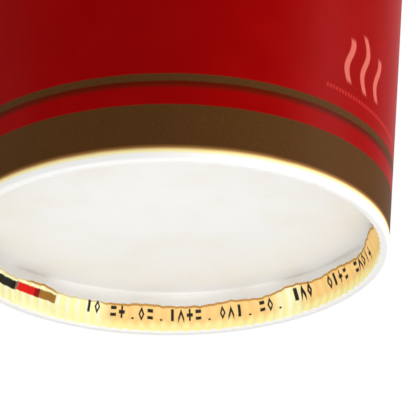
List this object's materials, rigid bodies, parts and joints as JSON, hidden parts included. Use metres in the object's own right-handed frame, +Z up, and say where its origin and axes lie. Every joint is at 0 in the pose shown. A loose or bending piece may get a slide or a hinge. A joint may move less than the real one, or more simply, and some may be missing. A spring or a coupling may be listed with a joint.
{
  "type": "paper cup",
  "caption": "Tapered single-wall paper cup with a rolled rim, a lapped side seam, a recessed base and a knurled folded hem around the foot.",
  "frame": {"origin": "centre of the foot, on the surface that the cup stands on", "axes": "+Z up along the cup's axis, from the foot to the rim; +X and +Y level"},
  "size_m": [0.0865, 0.0866, 0.124],
  "materials": {
    "printed_board": "glossy print on coated board",
    "plain_board": "bare coated board"
  },
  "bodies": {
    "root": {"side_wall": "printed_board", "base_disc": "plain_board"}
  },
  "joints": []
}
